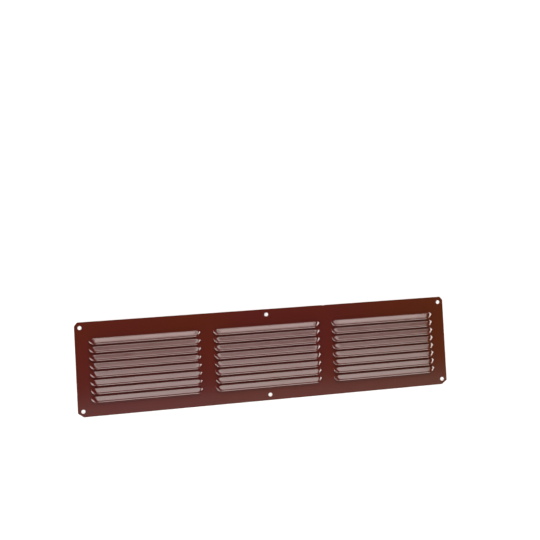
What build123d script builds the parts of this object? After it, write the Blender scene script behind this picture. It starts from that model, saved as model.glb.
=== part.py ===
from build123d import *
from math import radians, tan
import os

# Louvred soffit vent: one painted aluminium sheet, lanced and pressed into three columns of hoods

# Plate: X along it, Y up it as it is seen, Z out of its face, origin under the middle of its back
plate_length = 406.4
plate_width = 98.4
sheet_thickness = 0.6

# Corner clips, larger on the two lower corners, each softened where it meets an edge
upper_clip_along = 3.2
upper_clip_up = 3.8
lower_clip_along = 6.0
lower_clip_up = 4.4
clip_softening = 1.0

# Handling nick in the upper edge
nick_from_middle = 64.0
nick_width = 1.5
nick_depth = 0.9

# Fixing holes: one in each corner and one in the middle of each long edge
hole_diameter = 4.2
hole_from_side = 5.6
hole_from_long_edge = 5.9

# Louvre layout: columns and rows between the plain borders of the plate
louvre_columns = 3
louvre_rows = 8
side_border = 17.2
upper_border = 16.3
lower_border = 14.5
column_gap = 20.4
row_gap = 1.2
hinge_length = (plate_length - 2 * side_border - (louvre_columns - 1) * column_gap) / louvre_columns
row_pitch = (plate_width - upper_border - lower_border + row_gap) / louvre_rows
louvre_depth = row_pitch - row_gap

# Louvre in plan: the lance runs past both ends of the hinge, and turns up there with a large radius
lance_past_hinge = 3.2
lance_corner_radius = 4.8

# Louvre in section: a flat face rising from the hinge, a rounded crest and a turned-down lip
crest_height = 3.5
crest_radius = 1.2
lip_run = 0.9
lip_drop = 0.7

# Louvre ends: a gentle wall, folded up along a line that runs out and down from the hinge's end
end_fold_angle = 30.0
crest_inset = 2.0


def plate_outline():
    """The sheet's outline, with its four clips and the nick."""
    right = plate_length / 2
    top = plate_width / 2
    corners = [
        (-right + upper_clip_along, top),
        (right - upper_clip_along, top),
        (right, top - upper_clip_up),
        (right, -top + lower_clip_up),
        (right - lower_clip_along, -top),
        (-right + lower_clip_along, -top),
        (-right, -top + lower_clip_up),
        (-right, top - upper_clip_up),
    ]
    outline = make_face(Polyline(corners, close=True))
    outline = fillet(outline.vertices(), clip_softening)
    nick = Pos(nick_from_middle, top) * Ellipse(nick_width / 2, nick_depth)
    return outline - nick


def flat_plate():
    """The sheet before it is pressed, with its fixing holes."""
    hole_x = plate_length / 2 - hole_from_side
    hole_y = plate_width / 2 - hole_from_long_edge
    holes = [Pos(x, y) * Circle(hole_diameter / 2) for x in (-hole_x, 0, hole_x) for y in (-hole_y, hole_y)]
    return extrude(plate_outline() - holes, sheet_thickness)


def hood_bar():
    """A long bar with the hood's section, its lip run on past the lance."""
    past_lance = louvre_depth / 4
    lip_slope = lip_drop / lip_run
    end_y = -louvre_depth - past_lance
    corners = [
        (0, 0, 0),
        (0, lip_run - louvre_depth, crest_height),
        (0, end_y, crest_height - lip_slope * (lip_run + past_lance)),
        (0, end_y, 0),
    ]
    section = make_face(Polyline(corners, close=True))
    section = fillet(section.vertices().sort_by(Axis.Z)[-1], crest_radius)
    return extrude(section, hinge_length, dir=(1, 0, 0), both=True)


def right_end():
    """A block from far left to the right end wall, whose foot is the fold from the hinge's end."""
    fold_run = 1 / tan(radians(end_fold_angle))
    half_length = hinge_length / 2
    wall_run = crest_inset + fold_run * (louvre_depth - lip_run)
    corners = [
        (-hinge_length, 0, 0),
        (half_length, 0, 0),
        (half_length - wall_run, 0, crest_height),
        (-hinge_length, 0, crest_height),
    ]
    profile = make_face(Polyline(corners, close=True))
    return extrude(profile, 2 * fold_run * louvre_depth, dir=(-fold_run, 1, 0), both=True)


def lance_plan():
    """The sheet that one lance frees, from well behind the hinge, with its two rounded corners."""
    half_length = hinge_length / 2 + lance_past_hinge
    plan = Rectangle(2 * half_length, 2 * louvre_depth)
    return fillet(plan.vertices().group_by(Axis.Y)[0], lance_corner_radius)


def hood_form():
    """The form that presses one hood, standing on Z 0 with the middle of its hinge at the origin."""
    end = right_end()
    hood = hood_bar() & end & mirror(end, Plane.YZ)
    return hood & extrude(lance_plan(), crest_height)


def louvred_plate():
    """The pressed sheet: each form lifts the sheet by its own shape, so its upright thickness stays."""
    form = hood_form()
    column_pitch = hinge_length + column_gap
    first_column = side_border + hinge_length / 2 - plate_length / 2
    first_hinge = plate_width / 2 - upper_border
    places = [
        Pos(first_column + column * column_pitch, first_hinge - row * row_pitch)
        for column in range(louvre_columns)
        for row in range(louvre_rows)
    ]
    raised = [place * Pos(0, 0, sheet_thickness) * form for place in places]
    hollows = [place * form for place in places]
    return flat_plate() + raised - hollows


if __name__ == "__main__":
    os.makedirs("parts", exist_ok=True)
    export_step(louvred_plate(), "parts/louvred_plate.step")
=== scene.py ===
import logging
from dataclasses import dataclass, field
from math import atan, cos, hypot, pi, radians, sin, sqrt, tan
from typing import Any

import bmesh
import bpy
import numpy as np
from mathutils import Matrix, Vector
from mathutils.geometry import delaunay_2d_cdt


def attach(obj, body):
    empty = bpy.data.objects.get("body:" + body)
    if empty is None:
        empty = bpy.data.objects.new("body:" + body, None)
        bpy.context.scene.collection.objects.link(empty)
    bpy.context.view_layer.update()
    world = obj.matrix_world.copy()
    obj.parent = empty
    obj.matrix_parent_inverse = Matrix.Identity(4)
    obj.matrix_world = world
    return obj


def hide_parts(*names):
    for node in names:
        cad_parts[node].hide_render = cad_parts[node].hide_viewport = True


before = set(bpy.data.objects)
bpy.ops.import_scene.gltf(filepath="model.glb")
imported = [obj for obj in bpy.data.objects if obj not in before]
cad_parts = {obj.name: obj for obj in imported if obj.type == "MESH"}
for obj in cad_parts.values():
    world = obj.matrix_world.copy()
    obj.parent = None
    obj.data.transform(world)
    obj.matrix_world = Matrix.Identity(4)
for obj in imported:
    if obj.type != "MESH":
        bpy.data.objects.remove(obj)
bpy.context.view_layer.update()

# Sizes are in millimetres in the classes and become metres where a mesh is made
MM = 0.001
IMAGE_PIXELS = 540
SENSOR_MM = 36.0
BODY = "root"
CAD_NODE = "louvred_plate"
MERGE_MM = 0.002
SAME_POINT_MM = 1e-6
INSIDE_FACES = 1

log = logging.getLogger("soffit_vent")


# Shader maths

class Signal:
    """A node's output socket that Python's operators can be used on."""

    def __init__(self, nodes: "NodeMaker", socket: bpy.types.NodeSocket) -> None:
        """Keeps the socket and the maker that adds nodes beside it.

        Args:
            nodes: The maker for the tree that the socket is in.
            socket: The output socket.
        """
        self.nodes = nodes
        self.socket = socket

    def _maths(self, operation: str, first: Any, second: Any) -> "Signal":
        """Adds one Math node.

        Args:
            operation: The node's operation.
            first: The first value or signal.
            second: The second value or signal.

        Returns:
            The node's result.
        """
        return self.nodes.add("ShaderNodeMath", {"operation": operation}, {0: first, 1: second})

    def __add__(self, other: Any) -> "Signal":
        """The sum."""
        return self._maths("ADD", self, other)

    __radd__ = __add__

    def __sub__(self, other: Any) -> "Signal":
        """The difference."""
        return self._maths("SUBTRACT", self, other)

    def __rsub__(self, other: Any) -> "Signal":
        """The difference, with the signal taken away."""
        return self._maths("SUBTRACT", other, self)

    def __mul__(self, other: Any) -> "Signal":
        """The product."""
        return self._maths("MULTIPLY", self, other)

    __rmul__ = __mul__

    def between(self, low: float, high: float) -> "Signal":
        """Maps low to 0 and high to 1, and holds it there beyond them.

        Args:
            low: The value that becomes 0.
            high: The value that becomes 1.

        Returns:
            The mapped signal.
        """
        inputs = {"Value": self, "From Min": low, "From Max": high}
        return self.nodes.add("ShaderNodeMapRange", {"clamp": True}, inputs)


class NodeMaker:
    """Adds nodes to one shader tree."""

    def __init__(self, tree: bpy.types.NodeTree) -> None:
        """Takes an emptied tree.

        Args:
            tree: The tree that nodes are added to.
        """
        self.tree = tree
        tree.nodes.clear()

    def node(self, kind: str, settings: dict[str, Any], inputs: dict[Any, Any]) -> bpy.types.Node:
        """Adds a node, sets it up and links or fills its sockets.

        Args:
            kind: The node's type.
            settings: Its properties, set before its sockets.
            inputs: A value or a signal for each socket, by name or number.

        Returns:
            The node.
        """
        made = self.tree.nodes.new(kind)
        for name, value in settings.items():
            setattr(made, name, value)
        for name, value in inputs.items():
            if isinstance(value, Signal):
                self.tree.links.new(value.socket, made.inputs[name])
            else:
                made.inputs[name].default_value = value
        return made

    def add(self, kind: str, settings: dict[str, Any], inputs: dict[Any, Any], output: Any = 0) -> Signal:
        """Adds a node and gives one of its outputs.

        Args:
            kind: The node's type.
            settings: Its properties.
            inputs: A value or a signal for each socket.
            output: The name or number of the output that is wanted.

        Returns:
            The output as a signal.
        """
        return Signal(self, self.node(kind, settings, inputs).outputs[output])

    def mix(self, factor: Signal, first: Any, second: Any) -> Signal:
        """Mixes two colours.

        Args:
            factor: How much of the second colour shows.
            first: The colour at 0.
            second: The colour at 1.

        Returns:
            The mixed colour.
        """
        inputs = {"Factor": factor, 6: first, 7: second}
        return self.add("ShaderNodeMix", {"data_type": "RGBA"}, inputs, 2)


def linear(red: int, green: int, blue: int) -> tuple[float, float, float, float]:
    """A colour from its screen values of 0 to 255.

    Args:
        red: The red value.
        green: The green value.
        blue: The blue value.

    Returns:
        The linear colour with full alpha.
    """
    shares = [value / 255 for value in (red, green, blue)]
    return (*[s / 12.92 if s <= 0.04045 else ((s + 0.055) / 1.055) ** 2.4 for s in shares], 1.0)


@dataclass(frozen=True)
class BrownPaint:
    """The baked brown enamel, a little more orange towards the sheet's right end and thinner on its cut
    edges.
    """

    name: str = "brown_enamel"
    deep: tuple[int, int, int] = (76, 25, 21)
    warm: tuple[int, int, int] = (78, 28, 15)
    # A more orange brown that the colour turns to towards the sheet's right end
    orange_end: tuple[int, int, int] = (76, 32, 13)
    edge: tuple[int, int, int] = (74, 34, 28)
    tone_scale: float = 9.0
    tone_range: tuple[float, float] = (0.38, 0.66)
    orange_end_range: tuple[float, float] = (0.06, 0.2)
    roughness: float = 0.09
    roughness_spread: float = 0.02
    edge_roughness: float = 0.42
    gloss_scale: float = 45.0
    gloss_range: tuple[float, float] = (0.35, 0.65)
    skin_scale: float = 900.0
    skin_strength: float = 0.05
    skin_height: float = 0.02
    refraction: float = 1.5

    def noise(self, nodes: NodeMaker, place: Signal, scale: float, detail: float) -> Signal:
        """Adds a noise over the sheet.

        Args:
            nodes: The maker for the paint's tree.
            place: The place on the sheet.
            scale: How many of its waves there are in a metre.
            detail: How many finer layers it has.

        Returns:
            The noise, from 0 to 1.
        """
        return nodes.add("ShaderNodeTexNoise", {}, {"Vector": place, "Scale": scale, "Detail": detail}, "Fac")

    def build(self) -> bpy.types.Material:
        """Makes the material.

        Returns:
            The paint, its tone, gloss and skin varying over the sheet.
        """
        material = bpy.data.materials.new(self.name)
        material.use_nodes = True
        nodes = NodeMaker(material.node_tree)
        place = nodes.add("ShaderNodeTexCoord", {}, {}, "Object")
        tone = self.noise(nodes, place, self.tone_scale, 3.0)
        gloss = self.noise(nodes, place, self.gloss_scale, 4.0)
        skin = self.noise(nodes, place, self.skin_scale, 2.0)
        cut = nodes.add("ShaderNodeAttribute", {"attribute_name": PlateMesh.CUT_EDGE}, {}, "Fac")
        colour = nodes.mix(tone.between(*self.tone_range), linear(*self.deep), linear(*self.warm))
        along = nodes.add("ShaderNodeSeparateXYZ", {}, {"Vector": place}, "X")
        # The colour turns more orange towards the sheet's right end
        colour = nodes.mix(along.between(*self.orange_end_range), colour, linear(*self.orange_end))
        colour = nodes.mix(cut, colour, linear(*self.edge))
        roughness = self.roughness + self.roughness_spread * gloss.between(*self.gloss_range)
        roughness = roughness + (self.edge_roughness - self.roughness) * cut
        relief = {"Height": skin, "Strength": self.skin_strength, "Distance": self.skin_height * MM}
        bump = nodes.add("ShaderNodeBump", {}, relief)
        inputs = {"Base Color": colour, "Roughness": roughness, "Normal": bump, "IOR": self.refraction}
        shader = nodes.add("ShaderNodeBsdfPrincipled", {}, inputs)
        nodes.node("ShaderNodeOutputMaterial", {}, {"Surface": shader})
        return material


@dataclass(frozen=True)
class LouvreShape:
    """One louvre's form above the flat sheet, the middle of its hinge at the origin and its lance at -Y."""

    hinge_length: float = 110.4
    depth: float = 7.4
    lance_past_hinge: float = 3.2
    lance_corner_radius: float = 4.8
    crest_height: float = 3.5
    crest_radius: float = 1.2
    lip_run: float = 0.9
    lip_drop: float = 0.7
    end_fold_angle: float = radians(30.0)
    crest_inset: float = 2.0
    bend_above_hinge: float = 0.9
    bend_below_hinge: float = 2.0
    wall_blend: float = 0.6
    full_blend_height: float = 1.0
    end_rim_spread: float = 0.6
    end_rim_drop: float = 0.7

    @property
    def lance_side(self) -> float:
        """The X of the lance's right side."""
        return self.hinge_length / 2 + self.lance_past_hinge

    @property
    def fold_run(self) -> float:
        """How far an end wall's fold runs out along X for each run towards the lance."""
        return 1 / tan(self.end_fold_angle)

    @property
    def slit_end(self) -> float:
        """The Y where the fold meets the lance's side, so that the slit starts there."""
        return -self.lance_past_hinge / self.fold_run

    @property
    def corner_centre(self) -> tuple[float, float]:
        """The middle of the lance's right corner."""
        return self.lance_side - self.lance_corner_radius, self.lance_corner_radius - self.depth

    @property
    def face_slope(self) -> float:
        """The rise of the flat face for each run towards the lance, steep enough to reach the crest."""
        late = (self.bend_below_hinge - self.bend_above_hinge) / 2
        return self.crest_height / (self.depth - self.lip_run - late)

    @property
    def wall_slope(self) -> float:
        """The rise of an end wall for each run along X."""
        return self.crest_height / (self.crest_inset + self.fold_run * (self.depth - self.lip_run))

    @property
    def crest_centre(self) -> tuple[float, float]:
        """The Y and Z of the middle of the crest's round."""
        face = atan(self.face_slope)
        lip = atan(self.lip_drop / self.lip_run)
        back = self.crest_radius * tan((face + lip) / 2)
        y = self.lip_run - self.depth + back * cos(face) - self.crest_radius * sin(face)
        z = self.crest_height - back * sin(face) - self.crest_radius * cos(face)
        return y, z

    def face_height(self, y: float) -> float:
        """The height of the face, as if it ran on past the crest.

        Args:
            y: The place across the louvre.

        Returns:
            The height over the flat sheet.
        """
        above, below = self.bend_above_hinge, self.bend_below_hinge
        if y >= above:
            return 0.0
        if y > -below:
            return self.face_slope * (above - y) ** 2 / (2 * (above + below))
        return self.face_slope * ((above - below) / 2 - y)

    def lip_share(self, inside: float) -> float:
        """The share of the height that the crest's round and the lip take off.

        Args:
            inside: How far inside the lance.

        Returns:
            The share, which is 0 on the face.
        """
        y = inside - self.depth
        centre_y, centre_z = self.crest_centre
        lip = atan(self.lip_drop / self.lip_run)
        if y >= centre_y + self.crest_radius * sin(atan(self.face_slope)):
            return 0.0
        if y >= centre_y - self.crest_radius * sin(lip):
            height = centre_z + sqrt(self.crest_radius ** 2 - (y - centre_y) ** 2)
        else:
            height = self.crest_height - tan(lip) * (self.lip_run - inside)
        return 1 - height / self.face_height(y)

    def boundary(self, y: float) -> float:
        """The X where the louvre ends on the right: on its fold, or on the lance.

        Args:
            y: The place across the louvre.

        Returns:
            The boundary's X.
        """
        centre_x, centre_y = self.corner_centre
        if y >= self.slit_end:
            return self.hinge_length / 2 - self.fold_run * y
        if y >= centre_y:
            return self.lance_side
        return centre_x + sqrt(max(0.0, self.lance_corner_radius ** 2 - (y - centre_y) ** 2))

    def height(self, x: float, y: float) -> float:
        """The height of the louvre, its face blended into its end walls and its lip turned round its corners.

        Args:
            x: The place along the louvre, on its right half.
            y: The place across the louvre.

        Returns:
            The height over the flat sheet.
        """
        face = self.face_height(y)
        wall = max(0.0, self.wall_slope * (self.hinge_length / 2 - self.fold_run * y - x))
        blend = self.wall_blend * min(1.0, face / self.full_blend_height)
        body = min(face, wall)
        if abs(face - wall) < blend:
            share = 0.5 + 0.5 * (wall - face) / blend
            body = wall + (face - wall) * share - blend * share * (1 - share)
        centre_x, centre_y = self.corner_centre
        over, under = max(0.0, x - centre_x), max(0.0, centre_y - y)
        inside = min(self.lance_side - x, y + self.depth)
        if over > 0 and under > 0:
            inside = self.lance_corner_radius - hypot(over, under)
        turn = min(1.0, over / self.lance_corner_radius)
        lip = self.lip_share(max(0.0, inside) / (1 + self.end_rim_spread * turn))
        return max(0.0, body) * (1 - lip * (1 + self.end_rim_drop * turn))


@dataclass
class LouvreTile:
    """The upper side of the sheet over one row pitch of one column: a louvre and the flat sheet round it."""

    shape: LouvreShape = field(default_factory=LouvreShape)
    row_pitch: float = 8.6
    beyond_hinge: float = 5.0
    end_reach: float = 10.0
    middle_columns: int = 6
    end_shares: tuple[float, ...] = (
        0.0, 0.02, 0.045, 0.075, 0.11, 0.15, 0.2, 0.26, 0.33, 0.41, 0.5, 0.61, 0.73, 0.86, 1.0,
    )
    flat_steps: tuple[float, ...] = (0.12, 0.4)
    corner_turns: tuple[float, ...] = (15.0, 30.0, 60.0, 75.0, 83.0)
    hinge_rows: int = 10
    side_rows: int = 3
    crest_rows: int = 7
    least_row: float = 0.04

    @property
    def top(self) -> float:
        """The Y of the tile's upper edge, where the hinge's bend starts."""
        return self.shape.bend_above_hinge

    @property
    def half_width(self) -> float:
        """Half the tile's length along X."""
        return self.shape.hinge_length / 2 + self.beyond_hinge

    def row_places(self) -> list[float]:
        """The Y of each row of the grid from the upper edge to the lance.

        Returns:
            The rows, finer at the hinge, the crest and the lance's corners.
        """
        shape = self.shape
        above, below = shape.bend_above_hinge, shape.bend_below_hinge
        centre_y, _ = shape.crest_centre
        crest_start = centre_y + shape.crest_radius * sin(atan(shape.face_slope))
        crest_end = centre_y - shape.crest_radius * sin(atan(shape.lip_drop / shape.lip_run))
        _, corner_y = shape.corner_centre
        turns = [radians(turn) for turn in self.corner_turns]
        rows = [*np.linspace(above, -below, self.hinge_rows)]
        rows += [*np.linspace(shape.slit_end, corner_y, self.side_rows)]
        rows += [corner_y - shape.lance_corner_radius * sin(turn) for turn in turns]
        rows += [*np.linspace(crest_start, crest_end, self.crest_rows), -shape.depth]
        rows = sorted({round(float(y), 4) for y in rows}, reverse=True)
        spaced = [y for y, lower in zip(rows, rows[1:]) if y - lower > self.least_row]
        return [*spaced, rows[-1]]

    def columns(self, y: float) -> list[float]:
        """The X of each column on the right half of a row, from the middle outwards.

        Args:
            y: The row's place.

        Returns:
            The columns: the middle ones, those of the end up to the boundary, and those on the flat sheet.
        """
        end = self.shape.boundary(y)
        start = self.shape.hinge_length / 2 - self.end_reach
        ends = [end + (start - end) * share for share in self.end_shares[::-1]]
        middle = [start * step / self.middle_columns for step in range(self.middle_columns)]
        return [*middle, *ends, *[end + step for step in self.flat_steps], self.half_width]

    def build(self, name: str) -> bpy.types.Object:
        """Makes the tile's mesh.

        Args:
            name: The object's name.

        Returns:
            The tile, on Z 0 where the sheet is flat.
        """
        shape = self.shape
        rows = self.row_places()
        mesh = bmesh.new()
        half_count = len(self.columns(0.0))
        boundary = half_count - len(self.flat_steps) - 2

        def line(y: float, raised: bool, columns: list[float]) -> dict[int, bmesh.types.BMVert]:
            """Adds a row of vertices, numbered from the middle, negative on the left.

            Args:
                y: The row's place.
                raised: Whether the row is the louvre's own, and not the flat sheet's along the slit.
                columns: The X of each column.

            Returns:
                The vertices by number.
            """
            made = {}
            for side in (-1, 1):
                for number, x in enumerate(columns):
                    if number == 0 and side == 1:
                        continue
                    z = shape.height(x, y) if raised and number <= boundary else 0.0
                    made[side * number] = mesh.verts.new((side * x * MM, y * MM, z * MM))
            return made

        def strip(upper: dict, lower: dict, numbers: range) -> None:
            """Adds the faces between two rows.

            Args:
                upper: The row with the larger Y.
                lower: The row with the smaller Y.
                numbers: The column at the left of each face.
            """
            for number in numbers:
                mesh.faces.new((upper[number], lower[number], lower[number + 1], upper[number + 1]))

        raised = [line(y, True, self.columns(y)) for y in rows]
        flat = []
        for y, row in zip(rows, raised):
            if y >= shape.slit_end:
                flat.append(row)
                continue
            lowered = line(y, False, self.columns(y)) if y == rows[-1] else dict(row)
            if y != rows[-1]:
                for number in (-boundary, boundary):
                    vertex = row[number]
                    lowered[number] = mesh.verts.new((vertex.co.x, vertex.co.y, 0.0))
            flat.append(lowered)
        last = half_count - 1
        for upper, lower in zip(raised, raised[1:]):
            strip(upper, lower, range(-boundary, boundary))
        for upper, lower in zip(flat, flat[1:]):
            strip(upper, lower, range(-last, -boundary))
            strip(upper, lower, range(boundary, last))
        bottom = line(self.top - self.row_pitch, False, self.columns(self.top))
        strip(flat[-1], bottom, range(-last, last))
        loose = [vertex for vertex in mesh.verts if not vertex.link_faces]
        bmesh.ops.delete(mesh, geom=loose, context="VERTS")
        data = bpy.data.meshes.new(name)
        mesh.to_mesh(data)
        mesh.free()
        tile = bpy.data.objects.new(name, data)
        bpy.context.scene.collection.objects.link(tile)
        return tile


@dataclass
class PlateMesh:
    """The whole sheet: its flat borders and its field of louvres, given the sheet's upright thickness."""

    CUT_EDGE = "cut_edge"

    length: float = 406.4
    width: float = 98.4
    thickness: float = 0.6
    upper_clip: tuple[float, float] = (3.2, 3.8)
    lower_clip: tuple[float, float] = (6.0, 4.4)
    clip_softening: float = 1.0
    clip_steps: int = 4
    nick_from_middle: float = 64.0
    nick_size: tuple[float, float] = (1.5, 0.9)
    nick_steps: int = 8
    hole_diameter: float = 4.2
    hole_from_side: float = 5.6
    hole_from_long_edge: float = 5.9
    hole_sides: int = 40
    columns: int = 3
    rows: int = 8
    upper_border: float = 16.3
    column_gap: float = 20.4
    lower_rows_height: float = 0.98
    sharp_angle: float = radians(34.0)
    tile: LouvreTile = field(default_factory=LouvreTile)

    @property
    def column_pitch(self) -> float:
        """From one column of louvres to the next."""
        return self.tile.shape.hinge_length + self.column_gap

    @property
    def first_hinge(self) -> float:
        """The Y of the uppermost hinges."""
        return self.width / 2 - self.upper_border

    def rounded(self, corner: Vector, before: Vector, after: Vector) -> list[Vector]:
        """The points of a softened corner.

        Args:
            corner: The sharp corner.
            before: The corner before it.
            after: The corner after it.

        Returns:
            The points of its round.
        """
        to_before = (before - corner).normalized()
        to_after = (after - corner).normalized()
        half_angle = to_before.angle(to_after) / 2
        middle = corner + (to_before + to_after).normalized() * self.clip_softening / sin(half_angle)
        start = corner + to_before * self.clip_softening / tan(half_angle) - middle
        end = corner + to_after * self.clip_softening / tan(half_angle) - middle
        return [middle + start.slerp(end, step / self.clip_steps) for step in range(self.clip_steps + 1)]

    def outline(self) -> list[Vector]:
        """The sheet's outline in order, counter-clockwise.

        Returns:
            The points, with the clips, their softening and the nick.
        """
        x, y = self.length / 2, self.width / 2
        upper_x, upper_y = self.upper_clip
        lower_x, lower_y = self.lower_clip
        right = [(x - lower_x, -y), (x, lower_y - y), (x, y - upper_y), (x - upper_x, y)]
        corners = [Vector(point) for point in right]
        corners += [Vector((-point[0], point[1])) for point in right[::-1]]
        points = []
        upper_right = len(right) - 1
        for number, corner in enumerate(corners):
            before = corners[number - 1]
            after = corners[(number + 1) % len(corners)]
            points += self.rounded(corner, before, after)
            if number == upper_right:
                points += self.nick(y)
        return points

    def nick(self, edge: float) -> list[Vector]:
        """The points of the nick in the upper edge.

        Args:
            edge: The Y of the edge.

        Returns:
            The points from right to left.
        """
        middle = self.nick_from_middle
        width, depth = self.nick_size
        turns = [pi * step / self.nick_steps for step in range(self.nick_steps + 1)]
        return [Vector((middle + cos(turn) * width / 2, edge - sin(turn) * depth)) for turn in turns]

    def hole(self, middle: tuple[float, float]) -> list[Vector]:
        """The points of one fixing hole.

        Args:
            middle: The hole's middle.

        Returns:
            The points, counter-clockwise.
        """
        turns = [2 * pi * step / self.hole_sides for step in range(self.hole_sides)]
        radius = self.hole_diameter / 2
        return [Vector((middle[0] + radius * cos(turn), middle[1] + radius * sin(turn))) for turn in turns]

    def field_edge(self, column: int) -> list[Vector]:
        """The edge of one column of tiles, with a point wherever a tile has one.

        Args:
            column: The column's number from the left.

        Returns:
            The points, counter-clockwise.
        """
        tile = self.tile
        middle = (column - (self.columns - 1) / 2) * self.column_pitch
        right = tile.columns(tile.top)
        across = [-x for x in right[:0:-1]] + right
        rows = tile.row_places()
        down = [self.first_hinge - row * tile.row_pitch + y for row in range(self.rows) for y in rows]
        bottom = self.first_hinge + tile.top - self.rows * tile.row_pitch
        half = tile.half_width
        top = [Vector((middle + x, self.first_hinge + tile.top)) for x in across]
        right_side = [Vector((middle + half, y)) for y in down[1:]]
        base = [Vector((middle + x, bottom)) for x in across[::-1]]
        left_side = [Vector((middle - half, y)) for y in down[:0:-1]]
        return (top + right_side + base + left_side)[::-1]

    def border(self) -> bpy.types.Object:
        """Makes the flat sheet round the fields of louvres.

        Returns:
            The border, on Z 0.
        """
        hole_x = self.length / 2 - self.hole_from_side
        hole_y = self.width / 2 - self.hole_from_long_edge
        loops = [self.outline()]
        loops += [self.hole((x, y)) for x in (-hole_x, 0.0, hole_x) for y in (-hole_y, hole_y)]
        loops += [self.field_edge(column) for column in range(self.columns)]
        points, faces = [], []
        for loop in loops:
            faces.append(list(range(len(points), len(points) + len(loop))))
            points += loop
        found, _, triangles, _, _, sources = delaunay_2d_cdt(points, [], faces, INSIDE_FACES, SAME_POINT_MM)
        kept = [triangle for triangle, source in zip(triangles, sources) if source == [0]]
        data = bpy.data.meshes.new("vent_border")
        data.from_pydata([(point.x * MM, point.y * MM, 0.0) for point in found], [], kept)
        border = bpy.data.objects.new("vent_border", data)
        bpy.context.scene.collection.objects.link(border)
        return border

    def field_tree(self) -> bpy.types.NodeTree:
        """Makes the tree that repeats the tile over the border.

        Returns:
            The Geometry Nodes tree.
        """
        tree = bpy.data.node_groups.new("louvre_field", "GeometryNodeTree")
        sockets = (
            ("Border", "NodeSocketGeometry"),
            ("Louvre", "NodeSocketObject"),
            ("Columns", "NodeSocketInt"),
            ("Rows", "NodeSocketInt"),
            ("Column Pitch", "NodeSocketFloat"),
            ("Row Pitch", "NodeSocketFloat"),
            ("First Column", "NodeSocketFloat"),
            ("First Hinge", "NodeSocketFloat"),
            ("Lower Rows Height", "NodeSocketFloat"),
            ("Paint", "NodeSocketMaterial"),
        )
        for name, kind in sockets:
            tree.interface.new_socket(name=name, in_out="INPUT", socket_type=kind)
        tree.interface.new_socket(name="Sheet", in_out="OUTPUT", socket_type="NodeSocketGeometry")
        given = tree.nodes.new("NodeGroupInput")

        def vector(*parts: Any) -> bpy.types.NodeSocket:
            """Adds a vector.

            Args:
                parts: A number or a socket for each of X, Y and Z.

            Returns:
                The vector.
            """
            node = tree.nodes.new("ShaderNodeCombineXYZ")
            for slot, part in zip(node.inputs, parts):
                if isinstance(part, float):
                    slot.default_value = part
                else:
                    tree.links.new(part, slot)
            return node.outputs[0]

        def maths(operation: str, *parts: Any) -> bpy.types.NodeSocket:
            """Adds one Math node.

            Args:
                operation: The node's operation.
                parts: A number or a socket for each of its inputs.

            Returns:
                The result.
            """
            node = tree.nodes.new("ShaderNodeMath")
            node.operation = operation
            for slot, part in zip(node.inputs, parts):
                if isinstance(part, float):
                    slot.default_value = part
                else:
                    tree.links.new(part, slot)
            return node.outputs[0]

        def line(count: str, start: bpy.types.NodeSocket, step: bpy.types.NodeSocket) -> bpy.types.NodeSocket:
            """Adds a line of points.

            Args:
                count: The input that says how many.
                start: The first point.
                step: The way from one point to the next.

            Returns:
                The line.
            """
            node = tree.nodes.new("GeometryNodeMeshLine")
            tree.links.new(given.outputs[count], node.inputs["Count"])
            tree.links.new(start, node.inputs["Start Location"])
            tree.links.new(step, node.inputs["Offset"])
            return node.outputs[0]

        def repeat(points: Any, thing: Any, size: Any) -> bpy.types.NodeSocket:
            """Puts a thing on each point.

            Args:
                points: The points.
                thing: What goes on them.
                size: Its scale as a vector.

            Returns:
                The instances.
            """
            node = tree.nodes.new("GeometryNodeInstanceOnPoints")
            for name, socket in (("Points", points), ("Instance", thing), ("Scale", size)):
                tree.links.new(socket, node.inputs[name])
            return node.outputs[0]

        def realize(instances: bpy.types.NodeSocket) -> bpy.types.NodeSocket:
            """Turns instances into plain geometry.

            Args:
                instances: The instances.

            Returns:
                The geometry.
            """
            node = tree.nodes.new("GeometryNodeRealizeInstances")
            tree.links.new(instances, node.inputs[0])
            return node.outputs[0]

        pitch, first_hinge = given.outputs["Row Pitch"], given.outputs["First Hinge"]
        along = line("Columns", vector(given.outputs["First Column"], first_hinge, 0.0),
                     vector(given.outputs["Column Pitch"], 0.0, 0.0))
        down = line("Rows", vector(0.0, 0.0, 0.0), vector(0.0, maths("MULTIPLY", pitch, -1.0), 0.0))
        louvre = tree.nodes.new("GeometryNodeObjectInfo")
        tree.links.new(given.outputs["Louvre"], louvre.inputs["Object"])
        places = realize(repeat(along, down, vector(1.0, 1.0, 1.0)))
        apart = tree.nodes.new("ShaderNodeSeparateXYZ")
        tree.links.new(tree.nodes.new("GeometryNodeInputPosition").outputs[0], apart.inputs[0])
        below_first = maths("LESS_THAN", apart.outputs["Y"], maths("MULTIPLY_ADD", pitch, -0.5, first_hinge))
        lowering = maths("SUBTRACT", 1.0, given.outputs["Lower Rows Height"])
        height = maths("SUBTRACT", 1.0, maths("MULTIPLY", below_first, lowering))
        joined = tree.nodes.new("GeometryNodeJoinGeometry")
        tree.links.new(given.outputs["Border"], joined.inputs[0])
        louvres = repeat(places, louvre.outputs["Geometry"], vector(1.0, 1.0, height))
        tree.links.new(louvres, joined.inputs[0])
        painted = tree.nodes.new("GeometryNodeSetMaterial")
        tree.links.new(realize(joined.outputs[0]), painted.inputs["Geometry"])
        tree.links.new(given.outputs["Paint"], painted.inputs["Material"])
        result = tree.nodes.new("NodeGroupOutput")
        tree.links.new(painted.outputs[0], result.inputs[0])
        return tree

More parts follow.
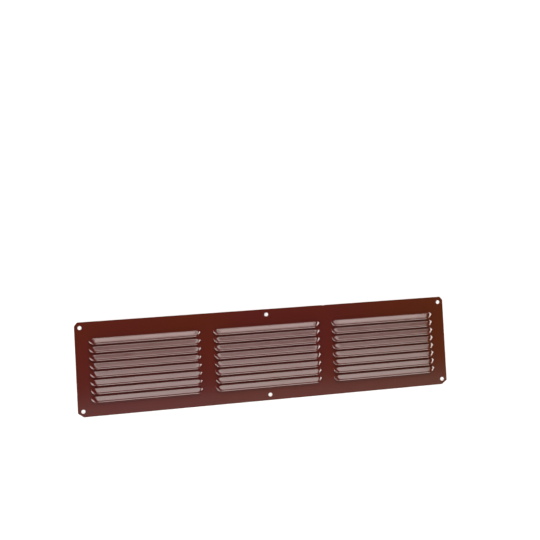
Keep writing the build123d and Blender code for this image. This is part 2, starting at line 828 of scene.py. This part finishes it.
    def fill(
        self,
        border: bpy.types.Object,
        tile: bpy.types.Object,
        paint: bpy.types.Material,
    ) -> bpy.types.Mesh:
        """Repeats the tile over the border.

        Args:
            border: The flat sheet round the fields.
            tile: One louvre and the sheet round it.
            paint: The material.

        Returns:
            The sheet's upper side as one plain mesh.
        """
        modifier = border.modifiers.new("louvre_field", "NODES")
        modifier.node_group = self.field_tree()
        values = {
            "Louvre": tile,
            "Columns": self.columns,
            "Rows": self.rows,
            "Column Pitch": self.column_pitch * MM,
            "Row Pitch": self.tile.row_pitch * MM,
            "First Column": -(self.columns - 1) / 2 * self.column_pitch * MM,
            "First Hinge": self.first_hinge * MM,
            "Lower Rows Height": self.lower_rows_height,
            "Paint": paint,
        }
        for item in modifier.node_group.interface.items_tree:
            if item.in_out == "INPUT" and item.name in values:
                modifier[item.identifier] = values[item.name]
        shown = bpy.context.evaluated_depsgraph_get()
        mesh = bpy.data.meshes.new_from_object(border.evaluated_get(shown), depsgraph=shown)
        border.modifiers.remove(modifier)
        return mesh

    def thicken(self, mesh: bpy.types.Mesh) -> None:
        """Gives the upper side its underside and its cut edges.

        Args:
            mesh: The upper side on Z 0, changed in place.
        """
        shell = bmesh.new()
        shell.from_mesh(mesh)
        bmesh.ops.remove_doubles(shell, verts=shell.verts, dist=MERGE_MM * MM)
        cut = shell.faces.layers.float.new(self.CUT_EDGE)
        upper = list(shell.verts)
        rims = [(edge.link_loops[0].vert, edge.link_loops[0].link_loop_next.vert)
                for edge in shell.edges if edge.is_boundary]
        faces = [list(face.verts) for face in shell.faces]
        under = {vertex: shell.verts.new(vertex.co) for vertex in upper}
        for vertices in faces:
            shell.faces.new([under[vertex] for vertex in reversed(vertices)])
        for start, end in rims:
            rim = shell.faces.new((end, start, under[start], under[end]))
            rim[cut] = 1.0
        for vertex in upper:
            vertex.co.z += self.thickness * MM
        for face in shell.faces:
            face.smooth = True
        shell.to_mesh(mesh)
        shell.free()
        mesh.set_sharp_from_angle(angle=self.sharp_angle)

    def build(self, paint: bpy.types.Material) -> bpy.types.Object:
        """Makes the whole sheet and puts it on the frame.

        Args:
            paint: The material.

        Returns:
            The finished piece.
        """
        tile = self.tile.build("vent_tile")
        border = self.border()
        mesh = self.fill(border, tile, paint)
        self.thicken(mesh)
        mesh.name = "pressed_sheet"
        sheet = bpy.data.objects.new("pressed_sheet", mesh)
        bpy.context.scene.collection.objects.link(sheet)
        for helper in (tile, border):
            bpy.data.objects.remove(helper)
        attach(sheet, BODY)
        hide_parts(CAD_NODE)
        return sheet


# Studio

@dataclass(frozen=True)
class Softbox:
    """A large soft lamp that faces the vent, placed by its direction and measured in degrees."""

    name: str
    tilt: float
    turn: float
    tall: float
    wide: float
    radiance: float
    aside: float = 0.0
    colour: tuple[float, float, float] = (1.0, 1.0, 1.0)
    distance: float = 3.0

    def build(self) -> bpy.types.Object:
        """Makes the lamp.

        Returns:
            The lamp's object.
        """
        data = bpy.data.lights.new(self.name, "AREA")
        data.shape = "RECTANGLE"
        data.size = 2 * self.distance * tan(radians(self.wide / 2))
        data.size_y = 2 * self.distance * tan(radians(self.tall / 2))
        data.energy = self.radiance * pi * data.size * data.size_y
        data.color = self.colour
        lamp = bpy.data.objects.new(self.name, data)
        bpy.context.scene.collection.objects.link(lamp)
        turn = Matrix.Rotation(radians(self.turn), 4, "Z") @ Matrix.Rotation(-radians(self.tilt), 4, "X")
        lamp.matrix_world = turn @ Matrix.Translation((self.aside, 0.0, self.distance))
        return lamp


@dataclass(frozen=True)
class Studio:
    """The floor, the lamps, the surroundings and the camera."""

    camera_place: tuple[float, float, float] = (-0.2020, 0.1282, 1.0711)
    camera_back: tuple[float, float, float] = (-0.2357, -0.0270, 0.9714)
    camera_up: tuple[float, float, float] = (0.0460, 0.9982, 0.0389)
    camera_shift: tuple[float, float] = (-0.0781, -0.1174)
    focal_pixels: float = 1000.0
    floor_size: float = 30.0
    floor_drop: float = 0.00015
    floor_colour: tuple[int, int, int] = (247, 247, 247)
    ambient: float = 0.06
    lamps: tuple[Softbox, ...] = (
        Softbox("overhead_far", 62.7, 0.0, 15.0, 30.6, 9.6, 0.47, (1.0, 0.88, 0.85)),
        Softbox("overhead_near", 48.75, 0.0, 8.4, 30.6, 6.8, 0.47, (1.0, 0.93, 0.9)),
        Softbox("front_card", -30.6, 0.0, 42.0, 60.0, 0.8, 0.3, distance=2.0),
        Softbox("front_low", -73.0, 0.0, 26.0, 30.0, 10.0, 0.6, (1.0, 0.97, 0.94)),
        Softbox("left_low", -76.0, -62.0, 18.0, 70.0, 9.0, 0.0, (1.0, 0.96, 0.92)),
        Softbox("left_side", 58.0, 90.0, 20.0, 20.0, 8.0, 0.0),
        Softbox("right_side", 64.0, -64.0, 20.0, 22.0, 16.0, 0.0, (1.0, 0.92, 0.88), 6.0),
    )

    def floor(self) -> bpy.types.Object:
        """Makes the pale floor just under the vent.

        Returns:
            The floor.
        """
        half = self.floor_size / 2
        corners = [(-half, -half), (half, -half), (half, half), (-half, half)]
        data = bpy.data.meshes.new("floor")
        data.from_pydata([(x, y, -self.floor_drop) for x, y in corners], [], [(0, 1, 2, 3)])
        material = bpy.data.materials.new("floor_white")
        material.use_nodes = True
        nodes = NodeMaker(material.node_tree)
        surface = nodes.add("ShaderNodeBsdfDiffuse", {}, {"Color": linear(*self.floor_colour)})
        nodes.node("ShaderNodeOutputMaterial", {}, {"Surface": surface})
        data.materials.append(material)
        floor = bpy.data.objects.new("floor", data)
        bpy.context.scene.collection.objects.link(floor)
        return floor

    def surroundings(self) -> None:
        """Makes the even light from all round, which the camera sees as white."""
        world = bpy.data.worlds.new("studio")
        bpy.context.scene.world = world
        world.use_nodes = True
        nodes = NodeMaker(world.node_tree)
        seen = nodes.add("ShaderNodeLightPath", {}, {}, "Is Camera Ray")
        strength = self.ambient + (1.0 - self.ambient) * seen
        light = nodes.add("ShaderNodeBackground", {}, {"Color": (1.0, 1.0, 1.0, 1.0), "Strength": strength})
        nodes.node("ShaderNodeOutputWorld", {}, {"Surface": light})

    def camera(self) -> bpy.types.Object:
        """Makes the camera at the photograph's angle.

        Returns:
            The camera.
        """
        data = bpy.data.cameras.new("camera")
        data.sensor_width = SENSOR_MM
        data.lens = SENSOR_MM * self.focal_pixels / IMAGE_PIXELS
        data.shift_x, data.shift_y = self.camera_shift
        camera = bpy.data.objects.new("camera", data)
        bpy.context.scene.collection.objects.link(camera)
        back = Vector(self.camera_back).normalized()
        across = Vector(self.camera_up).cross(back).normalized()
        up = back.cross(across)
        turn = Matrix((across, up, back)).transposed().to_4x4()
        camera.matrix_world = Matrix.Translation(self.camera_place) @ turn
        bpy.context.scene.camera = camera
        return camera

    def build(self) -> None:
        """Makes everything that isn't the vent."""
        self.camera()
        self.floor()
        self.surroundings()
        for lamp in self.lamps:
            lamp.build()
        bpy.context.scene.view_settings.view_transform = "Standard"


def main() -> None:
    """Builds the studio and the vent, and reports what was made."""
    logging.basicConfig(level=logging.INFO, format="%(message)s")
    Studio().build()
    sheet = PlateMesh().build(BrownPaint().build())
    log.info("%s: %d faces", sheet.name, len(sheet.data.polygons))


if __name__ == "__main__":
    main()
